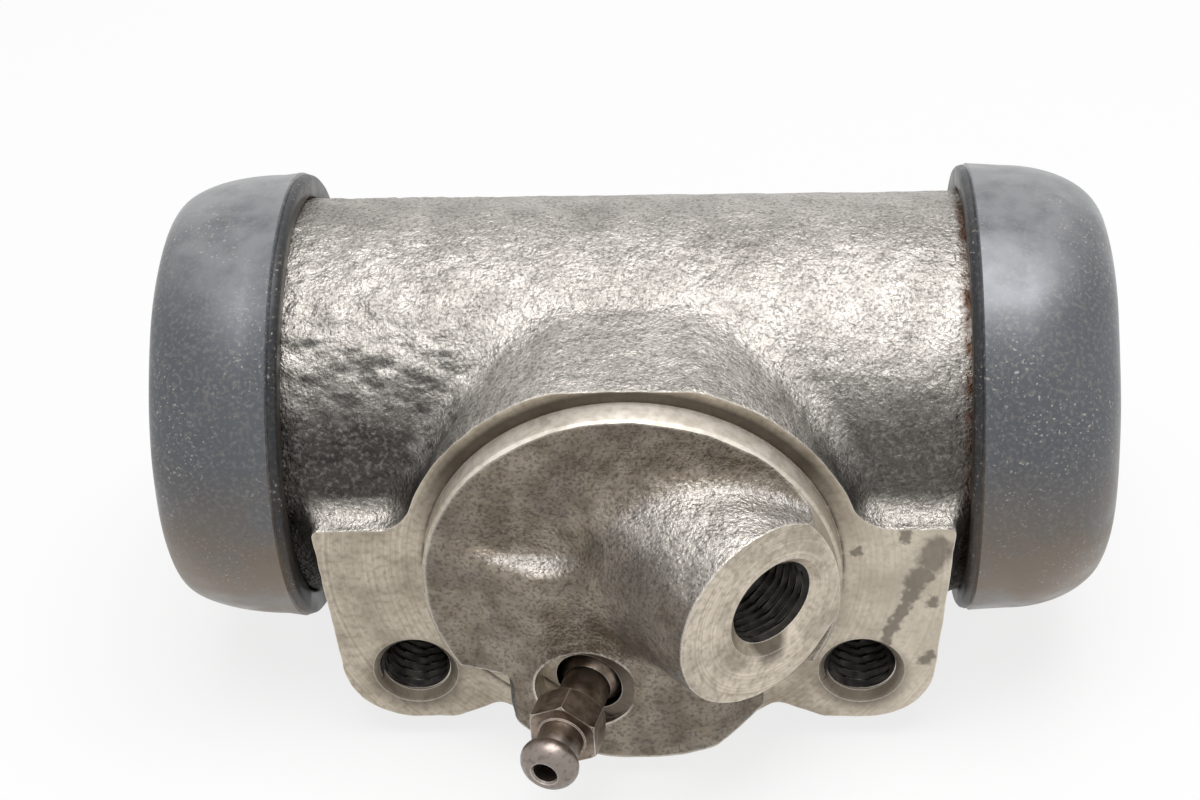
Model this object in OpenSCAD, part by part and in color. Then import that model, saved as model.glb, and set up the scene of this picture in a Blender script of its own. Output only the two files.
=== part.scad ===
// Hydraulic wheel cylinder: one iron casting with a through bore, two opposed
// pistons with rubber cups, a return spring, two dust boots and a bleeder screw.
// X runs along the bore, -Y is the outward normal of the mounting face, Z is up.
// The origin is the centre of the pilot, in the plane of the mounting face.

/* [Bore and barrel] */
// Diameter of the bore that both pistons run in
bore_d = 31.75; // [29:0.05:33]
// Outside diameter of the cast barrel
barrel_d = 43.5; // [41:0.5:46]
// Length of the barrel between its two end faces
barrel_l = 86; // [82:1:96]
// Distance of the bore axis behind the mounting face
bore_back = 25; // [24:0.5:28]
// Height of the bore axis above the pilot centre
bore_rise = 4.3; // [3:0.1:6]
// Chamfer at each mouth of the bore
bore_chamfer = 1.2; // [0.5:0.1:2]
// Chamfer on the outer corner of each barrel end
barrel_chamfer = 0.8; // [0.4:0.1:1.5]
// Width of the groove that holds the bead of a boot
groove_w = 3.2; // [2.4:0.1:4]
// Depth of the boot groove
groove_t = 1.2; // [0.8:0.1:1.6]
// Land between the boot groove and the end of the barrel
groove_land = 2.4; // [1.6:0.1:3]

/* [Mounting flange] */
// Diameter of the neck that carries the machined land round the pilot
neck_d = 48.2; // [46:0.2:52]
// Height of the flat along the top of the neck above the pilot centre
neck_flat = 23; // [22:0.1:23.8]
// Thickness of the flange from its face to the back of the lugs
flange_t = 14.4; // [14:0.1:16]
// Height of the upper edge of the lugs above the pilot centre
lug_top = 5.2; // [3:0.1:7]
// Radius of the outer lower corner of each lug
lug_r = 6.8; // [5.5:0.1:7.5]
// Distance of the corner centre outside the bolt hole
lug_reach = 1; // [0:0.1:2]
// Length of the level part of a lug's lower edge, inside its corner
lug_level = 5; // [3:0.1:6.5]
// Lean of the outer side of each lug
lug_lean = 4.3; // [0:0.1:8]
// Radius of the cast fillet between neck and lug
lug_fillet = 3; // [1:0.1:4]
// Angle round the neck, below level, at which the lower edge of a lug meets it
notch_angle = 51.5; // [50:0.5:56]
// Distance between the two threaded holes
hole_spacing = 48; // [46:0.5:52]
// Distance of the threaded holes below the pilot centre
hole_drop = 14.5; // [13:0.1:16]
// Tapping diameter of the threaded holes
hole_d = 6.8; // [6:0.1:7.2]
// Full depth of the threaded holes
hole_depth = 11.5; // [9:0.5:12]
// Mouth diameter of the countersinks
csink_d = 9.2; // [8.6:0.1:10]

/* [Pilot and pad] */
// Diameter of the machined pilot
pilot_d = 43.4; // [41:0.1:44]
// Height of the pilot above the mounting face
pilot_h = 2.9; // [1.6:0.1:3.4]
// How far the pad and the inlet boss stay inside the wall of the pilot
front_relief = 0.3; // [0.2:0.05:0.8]
// Height of the cast pad for the bleeder above the mounting face
pad_h = 6.2; // [5:0.1:7]
// Height of the upper edge of the pad above the pilot centre
pad_top = 5.2; // [4:0.1:8]
// Rounding of the upper edge of the pad
pad_round = 2; // [1:0.1:3]
// Distance of the corner where the pad starts to fall away, left of centre
pad_left = 9.6; // [8:0.1:12]
// Angle at which the left side of the pad falls away
pad_left_angle = 20; // [5:0.5:25]
// Distance of the corner where the pad starts to fall away, right of centre
pad_right = 8.6; // [7:0.1:12]
// Angle at which the right side of the pad falls away
pad_right_angle = 35; // [20:1:45]
// Distance from the centre to the relief on each side of the pad
relief_x = 13.9; // [12:0.1:16]
// Distance of the upper edge of that relief below the pilot centre
relief_drop = 11; // [9:0.1:13]

/* [Inlet port] */
// Angle of the inlet axis from the face normal, in the plane of the bore
inlet_angle = 38; // [35:1:45]
// Distance of the inlet mouth right of the pilot centre
inlet_x = 14.9; // [13:0.1:15.5]
// Distance of the inlet mouth in front of the mounting face
inlet_out = 9; // [8:0.1:10]
// Height of the inlet mouth above the pilot centre
inlet_rise = 2.6; // [1:0.1:4]
// Tapping diameter of the inlet
inlet_d = 9; // [8:0.1:10]
// Depth of the inlet thread
inlet_depth = 11; // [9:0.5:13]
// Mouth chamfer of the inlet
inlet_chamfer = 0.6; // [0.3:0.1:1]
// Radius of the inlet boss
inlet_boss_r = 10.5; // [9:0.1:11]
// Distance of the middle of the cast boss left of the inlet axis
boss_shift = 1.5; // [0:0.1:3]
// Diameter of the drilling from the inlet to the bore
inlet_drill_d = 3; // [2:0.1:4]

/* [Bleeder] */
// Distance of the bleeder left of the pilot centre
bleed_x = 5.2; // [3:0.1:7]
// Distance of the bleeder below the pilot centre
bleed_drop = 11.4; // [9.5:0.1:11.6]
// Lean of the bleeder away from the face normal
bleed_angle = 16; // [8:1:18]
// Diameter of the spot face round the bleeder
spot_d = 10.4; // [9:0.1:12]
// Depth of the spot face below the pad
spot_t = 1.4; // [0.5:0.1:1.7]
// Diameter of the bleeder thread
bleed_thread_d = 7; // [6:0.1:8]
// Depth of the bleeder hole below the pad
bleed_depth = 13; // [11:0.5:14]
// Diameter of the drilling from the bleeder to the bore
bleed_drill_d = 2.5; // [2:0.1:3]
// Width across the flats of the bleeder hexagon
hex_af = 7; // [6:0.1:8]
// Distance of the hexagon in front of the pad
hex_out = 3.5; // [2.8:0.1:5]
// Length of the hexagon
hex_l = 3.6; // [3:0.1:5]
// Diameter of the bleeder shank under the hexagon
shank_d = 5.1; // [4:0.1:5.5]
// Diameter of the bead at the hose end
bead_d = 6.2; // [5.5:0.1:6.6]
// Length of the hose end in front of the hexagon
nipple_l = 5.6; // [4.6:0.1:6.4]
// Distance of the widest part of the bead behind the hose end
bead_back = 2.1; // [1.4:0.1:2.4]
// Diameter of the waist behind the bead
waist_d = 4.1; // [3.6:0.1:4.6]
// Diameter of the drilling through the bleeder
bleed_bore_d = 2.4; // [1.6:0.1:2.6]

/* [Dust boots] */
// Thickness of the rim of a boot round the barrel
rim_wall = 2.75; // [2.3:0.05:3.5]
// Width of the rim of a boot behind the boot groove
rim_lip = 2; // [0.8:0.1:2.6]
// How far a boot stands out beyond the end of the barrel
boot_stand = 8; // [7.6:0.1:11]
// Wall of a boot
boot_wall = 2; // [1.6:0.1:2.2]
// Radius of the rounded shoulder of a boot
boot_round = 5; // [4:0.1:6]
// How far the crown of a boot stands out beyond its shoulder
boot_crown = 0.8; // [0.5:0.1:1.2]
// How much a boot narrows from its rim to its shoulder
boot_draft = 1; // [0:0.1:1.4]
// Diameter of the opening for the push rod
rod_hole_d = 11; // [10.5:0.1:12]

/* [Pistons, cups and spring] */
// Length of a piston
piston_l = 14.4; // [12:0.1:15]
// Distance of a piston's outer face inside the end of the barrel
piston_inset = 7; // [6:0.1:8]
// Diameter of the push-rod socket in a piston
socket_d = 10.2; // [9:0.1:10.4]
// Depth of the push-rod socket
socket_depth = 8; // [6:0.1:9]
// Thickness of the back of a rubber cup
cup_back = 3; // [2.4:0.1:3.6]
// Length of a cup lip beyond its back
cup_lip = 4; // [3:0.1:5]
// Wall of a cup lip at its root
cup_wall = 3; // [2.4:0.1:3.4]
// Thickness of the sheet that a cup expander is pressed from
expander_t = 1; // [0.6:0.1:1.2]
// Diameter of the flat seat of a cup expander
expander_seat_d = 20; // [18:0.1:20.6]
// Wire diameter of the return spring
wire_d = 1.6; // [1.2:0.1:2]
// Mean diameter of the return spring
coil_d = 15; // [13:0.1:16]
// Number of open turns of the return spring
coil_turns = 4; // [3:1:5]

/* [Fits] */
// Radial clearance of a piston in the bore
piston_clear = 0.03; // [0.02:0.01:0.06]
// Radial clearance of a relaxed cup in the bore
cup_clear = 0.1; // [0.05:0.01:0.2]
// Radial clearance of a boot on the barrel
boot_clear = 0.1; // [0.05:0.01:0.3]
// Clearance between the bleeder and its hole
bleed_clear = 0.15; // [0.1:0.01:0.25]
// Clearance between the stacked pieces in the bore
stack_clear = 0.05; // [0.02:0.01:0.1]

/* [Hidden] */
$fn = 96;
cut = 1;
corner_steps = 10;
wire_sides = 10;
wire_steps = 20;
drill_point = 0.4;
cave_angle = 20;

barrel_r = barrel_d / 2;
bore_r = bore_d / 2;
neck_r = neck_d / 2;
pilot_r = pilot_d / 2;
barrel_end = barrel_l / 2;
groove_out = barrel_end - groove_land;
rim_x = groove_out - groove_w - rim_lip;
boot_r = barrel_r + rim_wall;
tip_x = barrel_end + boot_stand;
shoulder_x = tip_x - boot_crown - boot_round;
shoulder_r = boot_r - boot_draft - boot_round;
piston_out = barrel_end - piston_inset;
piston_in = piston_out - piston_l;
piston_r = bore_r - piston_clear;
cup_out = piston_in - stack_clear;
cup_in = cup_out - cup_back;
lip_end = cup_in - cup_lip;
cup_r = bore_r - cup_clear;
cup_cave_r = cup_r - cup_wall;
expander_out = cup_in - stack_clear;
expander_rim_r = cup_cave_r - stack_clear;
expander_in = lip_end - expander_t;
spring_end = expander_in - stack_clear;
wire_r = wire_d / 2;
thread_r = bleed_thread_d / 2;
seat_depth = thread_r - bleed_drill_d / 2;
bead_r = bead_d / 2;
hex_front = hex_out + hex_l;
nipple_end = hex_front + nipple_l;
bead_mid = nipple_end - bead_back;
waist_r = waist_d / 2;

function arc(cx, cy, r, a0, a1, n) = [for (i = [0:n]) let (a = a0 + (a1 - a0) * i / n)
    [cx + r * cos(a), cy + r * sin(a)]];

// Places children with their Z axis along the bore, at its middle
module on_bore() {
    translate([0, bore_back, bore_rise])
        rotate([0, 90, 0])
            children();
}

// Places children for one end of the bore: side 1 is right, side -1 is left
module at_end(side) {
    translate([0, bore_back, bore_rise])
        mirror([side < 0 ? 1 : 0, 0, 0])
            rotate([0, 90, 0])
                children();
}

// Raises a flat outline in the plane of the face from y1 forward to y0
module from_face(y0, y1) {
    translate([0, y1, 0])
        rotate([90, 0, 0])
            linear_extrude(y1 - y0)
                children();
}

// Frame of the inlet: Z points out of the mouth, X to the right along the boss face
module on_inlet() {
    translate([inlet_x, -inlet_out, inlet_rise])
        rotate([0, 0, inlet_angle])
            rotate([90, 0, 0])
                children();
}

// Frame of the bleeder: Z points out of the pad
module on_bleeder() {
    translate([-bleed_x, -pad_h, -bleed_drop])
        rotate([0, 0, -bleed_angle])
            rotate([90, 0, 0])
                children();
}

// Right half of the flange outline: flat, neck, cast fillet, lug and lower notch
function half_flange() =
    let (reach = neck_r + lug_fillet, fy = lug_top + lug_fillet, fx = sqrt(reach * reach - fy * fy),
        touch = atan2(fy, fx), cx = hole_spacing / 2 + lug_reach,
        side_z = -hole_drop - lug_r * sin(lug_lean),
        top_x = cx + lug_r * cos(lug_lean) + (lug_top - side_z) * tan(lug_lean))
    concat(arc(0, 0, neck_r, asin(neck_flat / neck_r), touch, corner_steps),
        arc(fx, fy, lug_fillet, touch + 180, 270, corner_steps),
        [[top_x, lug_top]],
        arc(cx, -hole_drop, lug_r, -lug_lean, -90, corner_steps),
        [[cx - lug_level, -hole_drop - lug_r]],
        arc(0, 0, neck_r, -notch_angle, -90, corner_steps));

module flange_outline() {
    right = half_flange();
    polygon(concat(right, [for (i = [len(right) - 2:-1:0]) [-right[i][0], right[i][1]]]));
}

module barrel_profile() {
    g = barrel_r - groove_t;
    half = [[barrel_r, groove_out - groove_w], [g, groove_out - groove_w], [g, groove_out],
        [barrel_r, groove_out], [barrel_r, barrel_end - barrel_chamfer],
        [barrel_r - barrel_chamfer, barrel_end], [0, barrel_end]];
    polygon(concat(half, [for (i = [len(half) - 1:-1:0]) [half[i][0], -half[i][1]]]));
}

// Pad for the bleeder, seen along the bore, with a rounded upper edge
module pad_profile() {
    polygon(concat([[bore_back / 2, -pilot_d], [bore_back / 2, pad_top]],
        arc(pad_round - pad_h, pad_top - pad_round, pad_round, 90, 180, corner_steps),
        [[-pad_h, -pilot_d]]));
}

module bleeder_pad() {
    difference() {
        translate([-pilot_d, 0, 0])
            rotate([90, 0, 90])
                linear_extrude(2 * pilot_d)
                    pad_profile();
        translate([-pad_left, -pad_h, -pilot_d])
            rotate([0, 0, 180 - pad_left_angle])
                cube([2 * pilot_d, pilot_d, 2 * pilot_d]);
        translate([pad_right, -pad_h, -pilot_d])
            rotate([0, 0, pad_right_angle - 90])
                cube([pilot_d, 2 * pilot_d, 2 * pilot_d]);
    }
}

// The boss stands square to the inlet and runs back into the neck
module inlet_boss() {
    run = 2 * pilot_r;
    on_inlet()
        translate([-boss_shift, 0, -run])
            cylinder(h = run, r = inlet_boss_r);
}

// Relief on each side of the pad, down to the mounting face, that clears the bolt holes
module pad_relief() {
    for (side = [0, 1])
        mirror([side, 0, 0])
            translate([relief_x, -2 * inlet_out, -pilot_d - relief_drop])
                cube([pilot_d, 2 * inlet_out, pilot_d]);
}

// All that stands in front of the pilot passes through the hole that the pilot fits
module front_end() {
    rotate([-90, 0, 0])
        translate([0, 0, -pilot_h])
            cylinder(h = pilot_h + cut, r = pilot_r);
    intersection() {
        rotate([-90, 0, 0])
            translate([0, 0, -2 * inlet_out])
                cylinder(h = 2 * (inlet_out + cut), r = pilot_r - front_relief);
        union() {
            bleeder_pad();
            inlet_boss();
        }
    }
}

module bolt_hole() {
    sink = (csink_d - hole_d) / 2;
    rotate([-90, 0, 0]) {
        translate([0, 0, -cut])
            cylinder(h = hole_depth + cut, d = hole_d);
        translate([0, 0, -cut])
            cylinder(h = sink + cut, r1 = csink_d / 2 + cut, r2 = hole_d / 2);
        translate([0, 0, hole_depth])
            cylinder(h = hole_d * drill_point / 2, r1 = hole_d / 2, r2 = 0);
    }
}

module inlet_hole() {
    on_inlet() {
        translate([0, 0, -inlet_depth])
            cylinder(h = inlet_depth + cut, d = inlet_d);
        translate([0, 0, -inlet_chamfer])
            cylinder(h = inlet_chamfer + cut, r1 = inlet_d / 2, r2 = inlet_d / 2 + inlet_chamfer + cut);
        translate([0, 0, -inlet_depth - inlet_d * drill_point / 2])
            cylinder(h = inlet_d * drill_point / 2, r1 = inlet_drill_d / 2, r2 = inlet_d / 2);
        translate([0, 0, -(inlet_out + bore_back - bore_r / 2) / cos(inlet_angle)])
            cylinder(h = (inlet_out + bore_back - bore_r / 2) / cos(inlet_angle), d = inlet_drill_d);
    }
}

module bleeder_hole() {
    r = thread_r + bleed_clear;
    on_bleeder() {
        translate([0, 0, -bleed_depth])
            cylinder(h = bleed_depth + cut, r = r);
        translate([0, 0, -spot_t])
            cylinder(h = hex_out + spot_t, d = spot_d);
        translate([0, 0, -bleed_depth - seat_depth])
            cylinder(h = seat_depth, r1 = bleed_drill_d / 2, r2 = r);
        translate([0, 0, -(pad_h + bore_back) / cos(bleed_angle)])
            cylinder(h = (pad_h + bore_back) / cos(bleed_angle) - bleed_depth, d = bleed_drill_d);
    }
}

module cylinder_body() {
    color("#5b554f")
        difference() {
            union() {
                on_bore()
                    rotate_extrude()
                        barrel_profile();
                from_face(0, flange_t)
                    flange_outline();
                difference() {
                    front_end();
                    pad_relief();
                }
            }
            on_bore()
                cylinder(h = barrel_l + 2 * cut, r = bore_r, center = true);
            for (side = [-1, 1]) {
                at_end(side)
                    translate([0, 0, barrel_end - bore_chamfer])
                        cylinder(h = bore_chamfer + cut, r1 = bore_r, r2 = bore_r + bore_chamfer + cut);
                translate([side * hole_spacing / 2, 0, -hole_drop])
                    bolt_hole();
            }
            inlet_hole();
            bleeder_hole();
        }
}

// Half section of a boot: a rounded cap with a bead that snaps into the groove
module boot_profile() {
    inner_r = barrel_r + boot_clear;
    bead_in = groove_out - groove_w + boot_clear;
    bead_out = groove_out - boot_clear;
    bead_bottom = barrel_r - groove_t + boot_clear;
    past_end = barrel_end + boot_wall / 2;
    cave_r = boot_round - boot_wall;
    lip = rod_hole_d / 2;
    outer = concat([[boot_r, rim_x]],
        arc(shoulder_r, shoulder_x, boot_round, 0, 90, corner_steps),
        [[lip + boot_wall, tip_x], [lip, tip_x]]);
    inner = concat([[lip, tip_x - 2 * boot_wall], [lip + boot_wall, tip_x - boot_wall]],
        arc(shoulder_r, shoulder_x, cave_r, 90, cave_angle, corner_steps),
        [[inner_r, past_end], [inner_r, bead_out], [bead_bottom, bead_out],
            [bead_bottom, bead_in], [inner_r, bead_in], [inner_r, rim_x]]);
    polygon(concat(outer, inner));
}

module boot(side) {
    color("#3c4046")
        at_end(side)
            rotate_extrude()
                boot_profile();
}

module piston(side) {
    edge = bore_chamfer / 2;
    color("#b4b3ae")
        at_end(side)
            difference() {
                rotate_extrude()
                    polygon([[0, piston_in], [piston_r - edge, piston_in], [piston_r, piston_in + edge],
                        [piston_r, piston_out - edge], [piston_r - edge, piston_out], [0, piston_out]]);
                translate([0, 0, piston_out - socket_depth])
                    cylinder(h = socket_depth + cut, d = socket_d);
            }
}

module cup(side) {
    tip_r = cup_cave_r + cup_wall / 2;
    color("#2b2b2c")
        at_end(side)
            rotate_extrude()
                polygon([[0, cup_in], [0, cup_out], [cup_r, cup_out], [cup_r, lip_end],
                    [tip_r, lip_end], [cup_cave_r, cup_in]]);
}

// Pressed dish that spreads the cup lip and seats the spring
module cup_expander(side) {
    seat_r = expander_seat_d / 2;
    hub_r = coil_d / 2 - wire_d - stack_clear;
    color("#9a9a94")
        at_end(side)
            rotate_extrude()
                polygon([[hub_r - expander_t, expander_in], [seat_r, expander_in],
                    [expander_rim_r, expander_out - expander_t], [expander_rim_r, expander_out],
                    [expander_rim_r - expander_t, expander_out], [seat_r - expander_t, expander_in + expander_t],
                    [hub_r - expander_t, expander_in + expander_t]]);
}

// Position of the wire centre along the spring: closed turns at both ends
function coil_x(t) =
    let (free = spring_end - wire_r, total = coil_turns + 2, lead = wire_d)
    t < 1 ? -free + lead * t :
    t > total - 1 ? free - lead * (total - t) :
    -free + lead + (2 * free - 2 * lead) * (t - 1) / coil_turns;

module return_spring() {
    total = coil_turns + 2;
    rings = total * wire_steps;
    points = [for (i = [0:rings]) let (t = i * total / rings, a = 360 * t, r = coil_d / 2)
        for (k = [0:wire_sides - 1]) let (b = 360 * k / wire_sides, q = r + wire_r * cos(b))
            [q * cos(a), q * sin(a), coil_x(t) + wire_r * sin(b)]];
    sides = [for (i = [0:rings - 1]) for (k = [0:wire_sides - 1]) let (n = (k + 1) % wire_sides)
        [i * wire_sides + k, i * wire_sides + n, (i + 1) * wire_sides + n, (i + 1) * wire_sides + k]];
    first = [for (k = [wire_sides - 1:-1:0]) k];
    last = [for (k = [0:wire_sides - 1]) rings * wire_sides + k];
    color("#8f908c")
        on_bore()
            polyhedron(points, concat(sides, [first, last]));
}

module bleeder_screw() {
    tip = bleed_depth + seat_depth - 3 * bleed_clear;
    drill_r = bleed_drill_d / 2;
    thread_in = bleed_depth - 2 * bleed_clear;
    shank_r = shank_d / 2;
    color("#8b7d6a")
        on_bleeder()
            difference() {
                union() {
                    rotate_extrude()
                        polygon(concat([[0, -tip], [drill_r - bleed_clear, -tip], [thread_r, -thread_in],
                            [thread_r, -thread_r / 2], [shank_r, 0], [shank_r, hex_front],
                            [waist_r, hex_front]],
                            arc(0, bead_mid, bead_r, -acos(waist_r / bead_r), asin(bead_back / bead_r),
                                corner_steps),
                            [[0, nipple_end]]));
                    translate([0, 0, hex_out])
                        rotate(30)
                            cylinder(h = hex_l, d = hex_af / cos(30), $fn = 6);
                }
                translate([0, 0, -thread_in])
                    cylinder(h = thread_in + nipple_end + cut, d = bleed_bore_d);
                translate([0, 0, -thread_in])
                    rotate([90, 0, 0])
                        cylinder(h = 2 * bleed_thread_d, d = bleed_bore_d, center = true);
            }
}

module boot_left() { boot(-1); }
module boot_right() { boot(1); }
module piston_left() { piston(-1); }
module piston_right() { piston(1); }
module cup_left() { cup(-1); }
module cup_right() { cup(1); }
module cup_expander_left() { cup_expander(-1); }
module cup_expander_right() { cup_expander(1); }

cylinder_body();
boot_left();
boot_right();
piston_left();
piston_right();
cup_left();
cup_right();
cup_expander_left();
cup_expander_right();
return_spring();
bleeder_screw();
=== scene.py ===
"""Looks of a hydraulic wheel cylinder: a sand-cast iron body that was machined where it
seats, two rubber dust boots, an oxidised bleeder screw, and the pistons, cups and return
spring inside. Lengths are in millimetres in the values and functions below, and in metres
on the finished meshes."""
import math

import bmesh
import bpy
import numpy as np
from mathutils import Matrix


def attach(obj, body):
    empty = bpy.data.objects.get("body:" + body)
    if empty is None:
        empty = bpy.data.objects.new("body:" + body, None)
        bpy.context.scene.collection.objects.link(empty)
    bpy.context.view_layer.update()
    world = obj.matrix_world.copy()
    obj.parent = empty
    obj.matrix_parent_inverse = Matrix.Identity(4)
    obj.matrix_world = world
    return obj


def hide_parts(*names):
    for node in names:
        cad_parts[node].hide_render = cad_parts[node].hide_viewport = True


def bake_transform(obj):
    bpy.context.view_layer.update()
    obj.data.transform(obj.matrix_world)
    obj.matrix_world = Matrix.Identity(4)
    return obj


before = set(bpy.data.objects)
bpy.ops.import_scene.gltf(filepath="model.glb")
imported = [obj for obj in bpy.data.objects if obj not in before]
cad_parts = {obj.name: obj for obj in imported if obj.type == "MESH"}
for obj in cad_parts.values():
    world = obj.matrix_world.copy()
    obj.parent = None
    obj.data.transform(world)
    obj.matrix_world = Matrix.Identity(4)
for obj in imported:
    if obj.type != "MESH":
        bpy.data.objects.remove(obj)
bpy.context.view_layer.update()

import openvdb
from mathutils import Matrix, Vector, noise

MM = 0.001

# Barrel, its bore and the grooves that hold the beads of the boots
BORE_Y, BORE_Z = 25.0, 4.3
BORE_R, BORE_BEVEL = 15.875, 1.2
BARREL_R, BARREL_END = 21.75, 43.0
GROOVE_R, GROOVE_IN, GROOVE_OUT = 20.55, 37.4, 40.6
# Neck and flange
NECK_R, NECK_FLAT, NECK_ROUND = 24.1, 23.0, 0.3
FLANGE_BACK, BACK_ROUND = 14.4, 2.5
LUG_TOP, LUG_R, LUG_X, LUG_LEAN, LUG_ROUND = 5.2, 6.8, 25.0, 4.3, 0.7
# Notch under the flange: level stretch of a lug, and the angle at which it rises from there
LUG_LEVEL, NOTCH_RISE = 5.0, 26.0
HOLE_X, HOLE_Z = 24.0, -14.5
PILOT_R, PILOT_H, FRONT_R, PILOT_BEVEL = 21.7, 2.9, 21.4, 0.3
# Raw iron that facing and turning take off
FACE_STOCK, PILOT_STOCK = 1.5, 1.2
# Pad of the bleeder, with the corners where it falls away to each side and the angle of each fall
PAD_H, PAD_TOP, LEDGE_SLOPE, PAD_ROUND = 6.2, 5.0, 0.36, 0.9
PAD_LEFT, PAD_LEFT_FALL = -9.6, 20.0
PAD_RIGHT, PAD_RIGHT_FALL = 8.6, 35.0
# Relief beside the pad that clears the bolt holes
RELIEF_X, RELIEF_Z, RELIEF_DRAFT, RELIEF_ROUND = 12.8, -10.8, 0.15, 0.8
# Inlet and bleeder: middle of the mouth, and lean from the face normal
INLET, INLET_LEAN = Vector((14.9, -9.0, 2.6)), 38.0
BOSS_R, BOSS_SHIFT, BOSS_TAPER = 10.5, -1.5, 0.10
BLEED, BLEED_LEAN = Vector((-5.2, -6.2, -11.4)), -16.0
# Cast fillets where the disc, the pad and the inlet boss meet the body
DISC_FILLET, PAD_FILLET, BOSS_FILLET = 0.4, 0.9, 2.4
# Spot face of the bleeder, its hexagon and its end
SPOT_R, SPOT_DEPTH = 5.2, 1.4
HEX_BACK, HEX_FRONT, HEX_CORNER_R = 3.5, 7.1, 4.042
NIPPLE_END, NIPPLE_BORE, WAIST_R = 12.7, 1.25, 2.4
# Boots: opening for the push rod, rise of the domed end, wall beside the barrel, clearance of the bead
ROD_HOLE_R, BOOT_DOME, BOOT_INNER_R, BEAD_GAP = 5.5, 0.8, 21.85, 0.1
# Return spring: middle to the last wire centre, wire and coil radius, open turns in a half
SPRING_HALF, WIRE_R, COIL_R, HALF_TURNS = 12.7, 0.8, 7.5, 2
# How far a piston can push its end of the spring in
STROKE_IN = 6.0
# Spacing of the grid that the casting is meshed on
CAST_STEP = 0.55
FLOOR_Z, FLOOR_REACH = -24.4, 3000
# Camera of the photograph, with its right and upward directions
LENS, CAMERA_PLACE = 72.81, Vector((13.033, -190.288, 166.432))
CAMERA_RIGHT, CAMERA_UP = Vector((0.997893, 0.046784, -0.044963)), Vector((0.007534, 0.604701, 0.796417))

# Oil dried on the right lug, from x, z to x, z with a reach: two drops, the trail below, stray dots
OIL = ((31.4, 2.6, 31.0, 1.0, 2.2), (30.0, -0.9, 29.4, -1.7, 1.7), (29.3, -2.8, 28.7, -4.3, 1.1),
       (28.3, -5.2, 26.4, -10.2, 0.9), (31.3, -4.4, 31.2, -4.9, 0.9), (31.2, -12.4, 30.6, -12.9, 1.1),
       (28.0, 4.6, 28.0, 4.0, 0.9), (23.2, 2.3, 23.1, 2.1, 0.8))
# Darker patches with their reach: right of the bleeder, low in the mouth of the inlet, in the bolt holes
DARK_PATCHES = ((BLEED + Vector((2.6, 0, 0.6)), 8.0), (INLET + Vector((-1.6, 1.0, -5.2)), 3.2),
        (Vector((-HOLE_X, 1.0, HOLE_Z - 0.6)), 6.4), (Vector((HOLE_X, 1.0, HOLE_Z - 0.6)), 6.4))


def linear(hex_colour):
    """sRGB hex to the linear colour that a shader takes."""
    out = []
    for i in (0, 2, 4):
        c = int(hex_colour[i:i + 2], 16) / 255
        out.append(c / 12.92 if c <= 0.04045 else ((c + 0.055) / 1.055) ** 2.4)
    return (*out, 1.0)


# Meshes

def piece_from(name, points, faces):
    """One object from points in millimetres."""
    mesh = bpy.data.meshes.new(name)
    mesh.from_pydata([(Vector(p) * MM)[:] for p in points], [], faces)
    mesh.update()
    obj = bpy.data.objects.new(name, mesh)
    bpy.context.scene.collection.objects.link(obj)
    return obj


def along(origin, lean):
    """Frame whose Z leaves the face normal -Y by a lean toward +X."""
    turn = Matrix.Rotation(math.radians(lean), 4, "Z") @ Matrix.Rotation(math.radians(90), 4, "X")
    return Matrix.Translation(origin) @ turn


def on_bore(side):
    """Frame whose Z runs out along one end of the bore."""
    turn = Matrix.Rotation(math.radians(90 * side), 4, "Y")
    return Matrix.Translation((0, BORE_Y, BORE_Z)) @ turn


def round_axis(place, radius, angle, height):
    """Point at a radius, angle and height round the Z axis of a frame."""
    return place @ Vector((radius * math.cos(angle), radius * math.sin(angle), height))


def stacked_walls(rings, steps):
    """Faces between rings of point numbers, where a ring of one point closes to a tip."""
    faces = []
    for low, high in zip(rings, rings[1:]):
        for i in range(steps):
            n = (i + 1) % steps
            quad = [low[i % len(low)], low[n % len(low)], high[n % len(high)], high[i % len(high)]]
            faces.append([v for k, v in enumerate(quad) if v != quad[k - 1]])
    return faces


def swept_walls(rows, count, closed):
    """Faces along rows of count points each; a closed sweep meets its first row again."""
    faces = []
    for i in range(rows if closed else rows - 1):
        here = i * count
        there = (i + 1) % rows * count
        for k in range(count):
            n = (k + 1) % count
            faces.append((here + k, here + n, there + n, there + k))
    return faces


def lathe(name, profile, place, steps=96):
    """Closed turned solid from (radius, height) pairs that start and end on the axis."""
    points, rings = [], []
    for radius, height in profile:
        count = steps if radius > 1e-6 else 1
        rings.append(list(range(len(points), len(points) + count)))
        points += [round_axis(place, radius, 2 * math.pi * i / steps, height) for i in range(count)]
    return piece_from(name, points, stacked_walls(rings, steps))


def ring(name, profile, place, steps=160):
    """Closed turned ring from (radius, height) pairs that run round its section."""
    points = []
    for i in range(steps):
        points += [round_axis(place, r, 2 * math.pi * i / steps, h) for r, h in profile]
    return piece_from(name, points, swept_walls(steps, len(profile), True))


def thread_tool(name, place, minor, major, pitch, depth, mouth, steps=72):
    """Tool that leaves a helical thread: its radius follows the flanks, and it opens at the mouth."""
    count = int(depth / (pitch / 8))
    heights = [-depth + depth * k / count for k in range(count + 1)] + [1.0]
    points = [place @ Vector((0, 0, -depth - minor * 0.4))]
    rings = [[0]]
    for height in heights:
        rings.append(list(range(len(points), len(points) + steps)))
        for i in range(steps):
            wave = abs(((height / pitch - i / steps) % 1.0) * 2 - 1)
            radius = minor + (major - minor) * min(1.0, max(0.0, wave * 1.25 - 0.125))
            radius = max(radius, mouth + height)
            points.append(round_axis(place, radius, 2 * math.pi * i / steps, height))
    rings.append([len(points)])
    points.append(place @ Vector((0, 0, heights[-1])))
    return piece_from(name, points, stacked_walls(rings, steps))


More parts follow.
